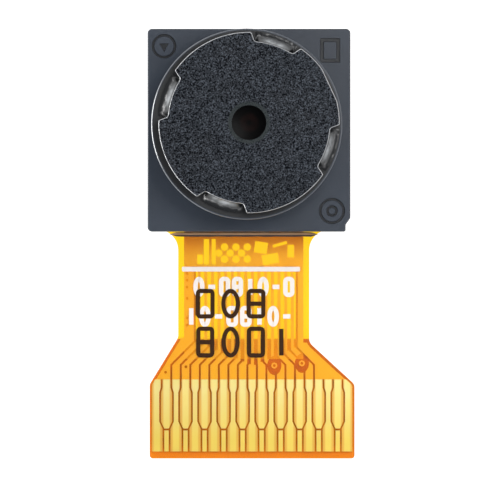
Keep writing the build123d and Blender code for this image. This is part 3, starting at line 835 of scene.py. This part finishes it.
def copies(tree, points, piece, **inputs):
    """Copies of a piece on points."""
    inputs = {"Points": points, "Instance": piece, **inputs}
    return output(tree, "GeometryNodeInstanceOnPoints", inputs)


# %% [markdown]
# ## Thread-lock glue
# Once the lens is in focus, a drop of clear glue in each notch locks the barrel to the rim. It creeps
# up the notch's wall and thins out towards the rim, so its surface is a hollow slope that shines. A
# pale painted highlight lies in the middle of each drop, close to the wall. The glue is a block of
# points bent round the axis, repeated at each notch and roughened, so no two drops are alike. Each point
# keeps how near it is to the middle of its drop, and the material reads that for the painted highlight.

# %% Cured clear glue
highlight_share = "highlight_share"
glue_highlight_radii, glue_highlight_limits = (2.60, 2.63, 0.10), (0.32, 0.68)
streak_size, glue_relief = 0.30, (0.3, 0.01)

glue, tree, place = new_material("cured clear glue")
_, from_axis, _ = place_masks(tree, place)
in_middle = add_node(tree, "ShaderNodeAttribute", attribute_name=highlight_share).outputs["Fac"]
streaks = noise(tree, place, streak_size)
# Painted highlight: pale streaks near the wall, in the middle of each drop.
by_wall = product(tree, length_mask(tree, from_axis, *glue_highlight_radii), in_middle)
glue_highlight = product(tree, by_wall, remap(tree, streaks, *glue_highlight_limits))
shade(tree, {
    "Base Color": blend(tree, glue_highlight, "#0a0c0e", "#85888a"), "Roughness": 0.28,
    "IOR": plastic_index, "Normal": bump(tree, streaks, *glue_relief),
})

# %% Glue in the notches
block_points = (56, 16, 4)
tapered_from, end_share = 0.36, 0.35
whole_middle, no_middle = 0.08, 0.44
hollowness = 2.0
lump_scale, lump_middle = 4.5, 0.6
wall_clearance = 0.012
end_clearance = 0.085
rim_overlap = 0.02
floor_clearance = 0.001

glue_low, glue_high = (in_mm(corner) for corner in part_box("thread_lock_adhesive"))
drop_sizes = {
    "Count": notch_count,
    "First angle": math.radians(notch_first_angle),
    "Sweep": math.radians(notch_angle) - 2 * end_clearance / head_radius,
    "Inner radius": head_radius - notch_depth + wall_clearance,
    "Outer radius": max(glue_high.x, -glue_low.x, glue_high.y, -glue_low.y) + rim_overlap,
    "Floor": glue_low.z + floor_clearance,
    "Inner height": 0.36,
    "Outer height": 0.10,
    "Unevenness": 0.12,
}
tree, size = new_tree("glue drops", drop_sizes)
block = output(tree, "GeometryNodeMeshCube", {
    "Size": (1, 1, 1), "Vertices X": block_points[0], "Vertices Y": block_points[1],
    "Vertices Z": block_points[2],
})
where = add_node(tree, "ShaderNodeSeparateXYZ", {0: output(tree, "GeometryNodeInputPosition")}).outputs
across = calc(tree, "ADD", where["Y"], 0.5)
radius = remap(tree, across, 0.0, 1.0, size["Inner radius"], size["Outer radius"])
turn = product(tree, where["X"], size["Sweep"])
hollow = calc(tree, "POWER", calc(tree, "SUBTRACT", 1.0, across), hollowness)
reach = remap(tree, hollow, 0.0, 1.0, size["Outer height"], size["Inner height"])
along = calc(tree, "ABSOLUTE", where["X"])
taper = remap(tree, along, tapered_from, 0.5, 1.0, end_share, interpolation_type="SMOOTHSTEP")
upwards = calc(tree, "ADD", where["Z"], 0.5)
level = calc(tree, "MULTIPLY_ADD", upwards, product(tree, reach, taper), size["Floor"])
bent = point(tree, *(product(tree, calc(tree, wave, turn), radius) for wave in ("COSINE", "SINE")), level)
middle = remap(tree, along, whole_middle, no_middle, 1.0, 0.0, interpolation_type="SMOOTHSTEP")
marked = output(tree, "GeometryNodeStoreNamedAttribute", {
    "Geometry": block, "Name": highlight_share, "Value": middle,
}, data_type="FLOAT", domain="POINT")
drop = moved(tree, marked, Position=bent)
step = calc(tree, "DIVIDE", 2 * math.pi, size["Count"])
heading = calc(tree, "MULTIPLY_ADD", output(tree, "GeometryNodeInputIndex"), step, size["First angle"])
starts = output(tree, "GeometryNodePoints", {"Count": size["Count"]})
facing = output(tree, "FunctionNodeEulerToRotation", {"Euler": point(tree, z=heading)})
real_drops = realized(tree, copies(tree, starts, drop, Rotation=facing))
spot = output(tree, "GeometryNodeInputPosition")
swell = product(tree, lumps(tree, spot, lump_scale, lump_middle), size["Unevenness"])
above_floor = calc(tree, "SUBTRACT", axis(tree, spot, "Z"), size["Floor"])
lift = product(tree, swell, calc(tree, "DIVIDE", above_floor, size["Inner height"]))
end_tree(tree, size, moved(tree, real_drops, Offset=point(tree, z=lift)))

drops_piece = grow("glue_drops", tree, glue, drop_sizes)
finish_piece(drops_piece, glue, "clear_adhesive", "thread_lock_adhesive", crease=60)

# %% [markdown]
# ## Polyimide film
# The flexible circuit is a base film with copper on both sides, and a cover film glued over each.
# Polyimide is clear amber. The films are see-through solids that take blue out of the light at each
# face, so the white floor behind them turns strong yellow and the copper orange. Only their outer faces
# shine, because glued faces don't. The films are copied a hair thinner than they are, so that no face
# lies exactly on a copper face and flickers against it.

# %% Polyimide, outer, bonded and bare faces
film_tints = ((0.984, 0.920, 0.42, 1.0), (0.978, 0.905, 0.38, 1.0))
film_mottle, film_relief = 0.8, (0.2, 0.01)
film_index, film_roughness = 1.5, 0.3
bare_part = (-no_limit, in_mm(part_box("contact_fingers")[1]).y, 0.001)
film_materials = {}
for face_name in ("outer", "bonded", "bare beyond the cover film"):
    material, tree, place = new_material("polyimide film, " + face_name)
    film_materials[face_name] = material
    mottle = noise(tree, place, film_mottle, 3.0)
    tint = blend(tree, mottle, *film_tints)
    clear = output(tree, "ShaderNodeBsdfTransparent", {"Color": tint})
    if face_name == "bonded":
        surface(tree, clear)
        continue
    ripple = bump(tree, mottle, *film_relief)
    fresnel = output(tree, "ShaderNodeFresnel", {"IOR": film_index, "Normal": ripple})
    from_inside = add_node(tree, "ShaderNodeNewGeometry").outputs["Backfacing"]
    shining = product(tree, fresnel, calc(tree, "SUBTRACT", 1.0, from_inside))
    if face_name != "outer":
        shining = product(tree, shining, length_mask(tree, axis(tree, place, "Y"), *bare_part))
    shine = output(tree, "ShaderNodeBsdfGlossy", {"Roughness": film_roughness, "Normal": ripple})
    surface(tree, output(tree, "ShaderNodeMixShader", {0: shining, 1: clear, 2: shine}))

# %% Films
film_gap = 0.0015
film_weld = 0.0001


def film_piece(name, node, top_finish, bottom_finish):
    """A copy of a film, a hair thinner, with its own finish on the top and on the bottom face."""
    low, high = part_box(node)
    middle = (low.z + high.z) / 2
    shape = bmesh.new()
    shape.from_mesh(nodes[node].data)
    bmesh.ops.remove_doubles(shape, verts=shape.verts, dist=film_weld * MM)
    for vertex in shape.verts:
        vertex.co.z += film_gap * MM * (1 if vertex.co.z < middle else -1)
    shape.normal_update()
    for face in shape.faces:
        face.smooth = False
        face.material_index = {1: 0, -1: 1}.get(round(face.normal.z), 2)
    mesh = bpy.data.meshes.new(name)
    shape.to_mesh(mesh)
    shape.free()
    for finish in (top_finish, bottom_finish, "outer"):
        mesh.materials.append(film_materials[finish])
    piece = add_object(name, mesh)
    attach(piece, "root")
    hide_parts(node)
    print(name, "has", len(mesh.polygons), "faces")


film_piece("cover_film_front", "front_coverlay", "outer", "bonded")
film_piece("circuit_base_film", "base_film", "bare beyond the cover film", "bonded")
film_piece("cover_film_back", "back_coverlay", "bonded", "outer")

# %% [markdown]
# ## Metals
# Rolled copper foil is matt with a faint grain along the strip. Beside the housing it gets a redder,
# darker painted shade, where the housing's wall shades it. The contacts are gold over nickel, silky and
# pale. Each finger is a deeper yellow along its edges, and plating builds up towards the tail's end,
# where it is a deeper yellow too. The plate behind the housing is brushed steel. A metal's colour is its
# reflection, so each is fully metallic, and the roughness says how silky it is. Each row gives the
# pieces, two colours, the lowest and highest roughness, the size of the streaks and their stretch.

# %% Copper, gold and steel
metal_finishes = {
    "rolled copper foil": (
        ("front_copper", "back_copper"), ("#ffd2b4", "#fcc0a0"), (0.5, 0.6), 0.9, (1.0, 0.12)),
    "electroplated gold": (
        ("contact_fingers", "bond_wires"), ("#fff0a2", "#fbe07e"), (0.42, 0.52), 0.35, (1.0, 0.5)),
    "brushed stainless steel": (
        ("stiffener_plate",), ("#c9c8c4", "#b4b3af"), (0.3, 0.42), 0.15, (1.0, 0.02)),
    "tin-lead solder": (
        ("capacitor_terminals", "solder_joints"), ("#cfcfca", "#b9b9b3"), (0.25, 0.4), 0.1, (1.0, 1.0)),
}
deep_gold_from, deep_gold_to = -8.4, -10.0
housing_shade_from, housing_shade_to = -4.3, -3.6
housing_shade_share = 0.55
finger_pitch = 0.30
edge_limits, edge_share = (-0.1, -1.0), 0.85
metal_relief = (0.2, 0.002)
fingers_low, fingers_high = (in_mm(corner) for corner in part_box("contact_fingers"))
fingers_middle = (fingers_low.x + fingers_high.x) / 2
for name, (node_names, colours, roughness, streak_size, stretch) in metal_finishes.items():
    metal, tree, place = new_material(name)
    stretched = output(tree, "ShaderNodeMapping", {"Vector": place, "Scale": (*stretch, 1.0)})
    streaks = noise(tree, stretched, streak_size, 4.0)
    tone = blend(tree, streaks, *colours)
    if name == "electroplated gold":
        towards_end = remap(tree, axis(tree, place, "Y"), deep_gold_from * MM, deep_gold_to * MM)
        tone = blend(tree, towards_end, tone, "#fbdc68")
        # Each finger is coloured a deeper yellow towards its edges.
        phase = remap(
            tree, axis(tree, place, "X"), fingers_middle * MM, (fingers_middle + finger_pitch) * MM,
            0.0, 2 * math.pi, clamp=False,
        )
        near_edges = remap(tree, calc(tree, "COSINE", phase), *edge_limits, 0.0, edge_share)
        tone = blend(tree, near_edges, tone, "#f2b64e")
    elif name == "rolled copper foil":
        # Painted shade: beside the housing the copper is drawn redder and darker.
        housing_shade = remap(
            tree, axis(tree, place, "Y"), housing_shade_from * MM, housing_shade_to * MM, 0.0, housing_shade_share,
            interpolation_type="SMOOTHSTEP",
        )
        tone = blend(tree, housing_shade, tone, "#ff9682")
    shade(tree, {
        "Base Color": tone, "Metallic": 1.0, "Roughness": remap(tree, streaks, 0.0, 1.0, *roughness),
        "Normal": bump(tree, streaks, *metal_relief),
    })
    dress(metal, *node_names)

# %% [markdown]
# ## Plastics, ceramics and glues behind the scenes
# What is left is either behind the films or inside the housing: the amber board that stiffens the
# tail, the glues, the sensor, the lenses and the small parts beside the sensor. Each row gives the
# pieces, two colours, the roughness, the size of the mottle, the metallic share and the gloss. A
# coating kills nearly all of the gloss.

# %% Plain materials
plain_finishes = {
    "polyimide board": (("tail_stiffener",), ("#b5501e", "#a8441a"), 0.35, 1.5),
    "acrylic bonding film": (
        ("tail_stiffener_adhesive", "plate_adhesive", "die_attach_film"), ("#f0a86c", "#e69c60"), 0.6, 0.6),
    "black epoxy": (("housing_adhesive",), ("#141517", "#1c1d20"), 0.5, 0.2),
    "clear epoxy": (("filter_adhesive",), ("#8a8d90", "#9b9ea1"), 0.3, 0.3),
    "matt black film": (
        ("front_baffle", "rear_baffle", "spacer_ring", "retaining_ring"), ("#0b0b0c", "#121214"), 0.8, 0.1),
    "coated optical plastic": (("middle_lens", "rear_lens"), ("#050404", "#0a0504"), 0.12, 2.0, 0.0, 0.06),
    "blue-green coated glass": (("infrared_filter",), ("#0d2a2c", "#12383a"), 0.06, 2.0, 0.0, 0.06),
    "polished silicon": (("image_sensor",), ("#2c2834", "#38323f"), 0.15, 0.05, 0.6),
    "fired ceramic": (("capacitor_bodies",), ("#7a5a3c", "#6b4d32"), 0.5, 0.05),
}


def mottled(name, colours, roughness, mottle_size, metallic=0.0, gloss=plain_gloss, relief=(0.15, 0.002)):
    """A material whose tone wanders between two colours, with a faint relief."""
    material, tree, place = new_material(name)
    mottle = noise(tree, place, mottle_size, 3.0)
    shade(tree, {
        "Base Color": blend(tree, mottle, *colours), "Metallic": metallic, "Roughness": roughness,
        "IOR": plastic_index, "Specular IOR Level": gloss, "Normal": bump(tree, mottle, *relief),
    })
    return material


for name, (node_names, *finish) in plain_finishes.items():
    dress(mottled(name, *finish), *node_names)

# %% [markdown]
# ## Front lens
# Behind the opening the lens is nearly black, because its coating kills the reflection and the light
# that enters is lost in the barrel. A faint red-brown ring round the middle is a painted reflection.

# %% Coated front lens
reflection_radii = (0.14, 0.24, 0.10)
haze_size = 0.25

coated_lens, tree, place = new_material("polycarbonate with anti-reflection coating")
_, from_axis, _ = place_masks(tree, place)
# Painted reflection: a faint red-brown ring round the axis.
painted_reflection = product(tree, length_mask(tree, from_axis, *reflection_radii), noise(tree, place, haze_size))
shade(tree, {
    "Base Color": blend(tree, painted_reflection, "#0b0b0b", "#1f1210"), "Roughness": 0.3, "IOR": 1.58,
    "Specular IOR Level": 0.03,
})
dress(coated_lens, "front_lens")

# %% [markdown]
# ## The bead at the tail's exit
# A thin bead of dark amber resin runs along the housing where the tail leaves it, and fades out at
# both ends. Against the housing it gets a pale painted highlight. It is a tube swept along a line and
# tapered at both ends, pressed against the wall.

# %% Amber resin
bead_highlight_part = (-3.50, -3.0, 0.02)
resin_runs = 0.5

bead_resin, tree, place = new_material("amber resin")
# Painted highlight: the part of the bead against the housing is drawn pale.
bead_highlight = length_mask(tree, axis(tree, place, "Y"), *bead_highlight_part)
resin_tone = blend(tree, noise(tree, place, resin_runs), "#1c0d05", "#30190b")
shade(tree, {
    "Base Color": blend(tree, bead_highlight, resin_tone, "#d3a67c"), "Roughness": 0.6, "IOR": plastic_index,
})

# %% Exit bead
bead_low, bead_high = (in_mm(corner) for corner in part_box("exit_bead"))
bead_radius = (bead_high.y - bead_low.y) / 2
bead_share = 0.9
bead_run_out = 0.17
bead_steps, bead_sides = 90, 20
taper_from, end_width = 0.44, 0.04
lump_scale, lump_middle = 2.2, 0.55

bead_sizes = {
    "Left": bead_low.x - bead_run_out, "Right": bead_high.x + bead_run_out, "Y": bead_high.y - bead_radius,
    "Z": bead_low.z + bead_radius * bead_share, "Radius": bead_radius * bead_share, "Swell": 0.05,
}
tree, size = new_tree("tapered bead", bead_sizes)
line = line_curve(tree, *(point(tree, size[end], size["Y"], size["Z"]) for end in ("Left", "Right")))
fine_line = output(tree, "GeometryNodeResampleCurve", {"Curve": line, "Count": bead_steps})
along = add_node(tree, "GeometryNodeSplineParameter").outputs["Factor"]
distance = calc(tree, "ABSOLUTE", calc(tree, "SUBTRACT", along, 0.5))
width = remap(tree, distance, taper_from, 0.5, 1.0, end_width, interpolation_type="SMOOTHSTEP")
tube = sweep(tree, fine_line, circle_curve(tree, bead_sides, size["Radius"]), width)
spot = output(tree, "GeometryNodeInputPosition")
swell = product(tree, lumps(tree, spot, lump_scale, lump_middle), size["Swell"])
facing = output(tree, "GeometryNodeInputNormal")
push = output(tree, "ShaderNodeVectorMath", {0: facing, "Scale": swell}, operation="SCALE")
end_tree(tree, size, moved(tree, tube, Offset=push))

bead = grow("exit_bead_resin", tree, bead_resin, bead_sizes)
finish_piece(bead, bead_resin, "bead_adhesive", "exit_bead", crease=60)

# %% [markdown]
# ## Print
# The strip carries a white line and rows of white and black marks in screen ink. The marks here are
# plain shapes and no lettering: bars, frames, ovals, crossed frames and dashes, drawn with a stroke as
# wide as the real one. A tree sweeps a flat stroke along each shape and sets the shapes in a row.

# %% Screen inks
ink_colours = {"white screen ink": ("#d8d0ca", "#ded6d1"), "black screen ink": ("#3a2719", "#2f1d10")}
ink_finish = {"roughness": 0.7, "mottle_size": 0.12, "gloss": 0.05, "relief": (0.3, 0.003)}
inks = {name: mottled(name, colours, **ink_finish) for name, colours in ink_colours.items()}
print("inks:", ", ".join(inks))

# %% A row of plain marks
film_top = in_mm(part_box("front_coverlay")[1]).z
box_corner, box_corner_points = 0.08, 5
oval_points = 28

tree, size = new_tree("row of marks", {
    "X": 0.0, "Y": 0.0, "Z": film_top, "Count": 8, "Pitch": 0.4, "Width": 0.3, "Height": 0.6,
    "Stroke": 0.14, "Ink": 0.006, "Step": 3, "First": 0,
})


def quadrilateral(width, height):
    """A rectangle of curves, round the origin."""
    return output(tree, "GeometryNodeCurvePrimitiveQuadrilateral", {"Width": width, "Height": height})


def joined(curves):
    """Curves as one geometry."""
    join = tree.nodes.new("GeometryNodeJoinGeometry")
    for curve in curves:
        tree.links.new(curve, join.inputs["Geometry"])
    return join.outputs["Geometry"]


stroke = quadrilateral(size["Stroke"], size["Ink"])
bar = line_curve(tree, *(point(tree, y=product(tree, size["Height"], share)) for share in (-0.5, 0.5)))
soft_box = output(tree, "GeometryNodeFilletCurve", {
    "Curve": quadrilateral(size["Width"], size["Height"]), "Count": box_corner_points, "Radius": box_corner,
    "Limit Radius": True,
}, mode="POLY")
oval = output(tree, "GeometryNodeTransform", {
    "Geometry": circle_curve(tree, oval_points, 0.5),
    "Scale": point(tree, size["Width"], size["Height"], 1.0),
})
dash = line_curve(tree, *(point(tree, product(tree, size["Width"], share)) for share in (-0.5, 0.5)))
free_width = calc(tree, "SUBTRACT", size["Width"], size["Stroke"])
rung = line_curve(tree, *(point(tree, product(tree, free_width, share)) for share in (-0.5, 0.5)))
shapes = [
    output(tree, "GeometryNodeGeometryToInstance", {"Geometry": sweep(tree, curve, stroke)})
    for curve in (bar, soft_box, oval, joined((soft_box, rung)), dash)
]
row = output(tree, "GeometryNodeMeshLine", {
    "Count": size["Count"], "Start Location": point(tree, size["X"], size["Y"], size["Z"]),
    "Offset": point(tree, size["Pitch"]),
})
pick = calc(tree, "MULTIPLY_ADD", output(tree, "GeometryNodeInputIndex"), size["Step"], size["First"])
shape_number = calc(tree, "FLOORED_MODULO", pick, float(len(shapes)))
marks = copies(tree, row, joined(shapes), **{"Pick Instance": True, "Instance Index": shape_number})
end_tree(tree, size, marks)

# %% [markdown]
# Each row is given by its ink and thickness, its first mark's place, the number of marks and their
# pitch, the size of a mark, the width of the stroke, and which shapes follow each other: the step from
# one shape to the next, and the first one.

# %% Rows of marks and the white line
white, black = ("white screen ink", 0.004), ("black screen ink", 0.009)
print_rows = {
    "white_marks_upper": (white, (-1.58, -5.16), (8, 0.405), (0.215, 0.50), 0.14, (3, 2)),
    "white_marks_lower": (white, (-1.82, -6.09), (8, 0.43), (0.23, 0.52), 0.14, (3, 4)),
    "black_marks_upper": (black, (-1.38, -5.69), (3, 0.80), (0.46, 0.80), 0.135, (4, 3)),
    "black_marks_lower": (black, (-1.38, -6.90), (4, 0.80), (0.44, 0.84), 0.135, (1, 1)),
}
bar_left, bar_right = -2.114, 1.609
bar_middle = -4.60
bar_width = 0.15
bar_corner = 0.03
bar_thickness = 0.005

for name, row_sizes in print_rows.items():
    (ink, thickness), (x, y), (count, pitch), (width, tall), stroke, (step, first) = row_sizes
    marks_piece = grow(name, tree, inks[ink], {
        "X": x, "Y": y, "Z": film_top + thickness / 2 - film_gap, "Count": count, "Pitch": pitch,
        "Width": width, "Height": tall, "Stroke": stroke, "Ink": thickness, "Step": step, "First": first,
    })
    finish_piece(marks_piece, inks[ink], "polyimide_film", crease=40)

bar_centre = ((bar_left + bar_right) / 2, bar_middle)
bar_corners = rectangle(bar_right - bar_left, bar_width, bar_corner, bar_centre)
bar_outline = rounded_corners(bar_corners, small_arc_steps)
white_bar = slab("white_bar", bar_outline, film_top - film_gap, film_top + bar_thickness)
finish_piece(white_bar, inks["white screen ink"], "polyimide_film")
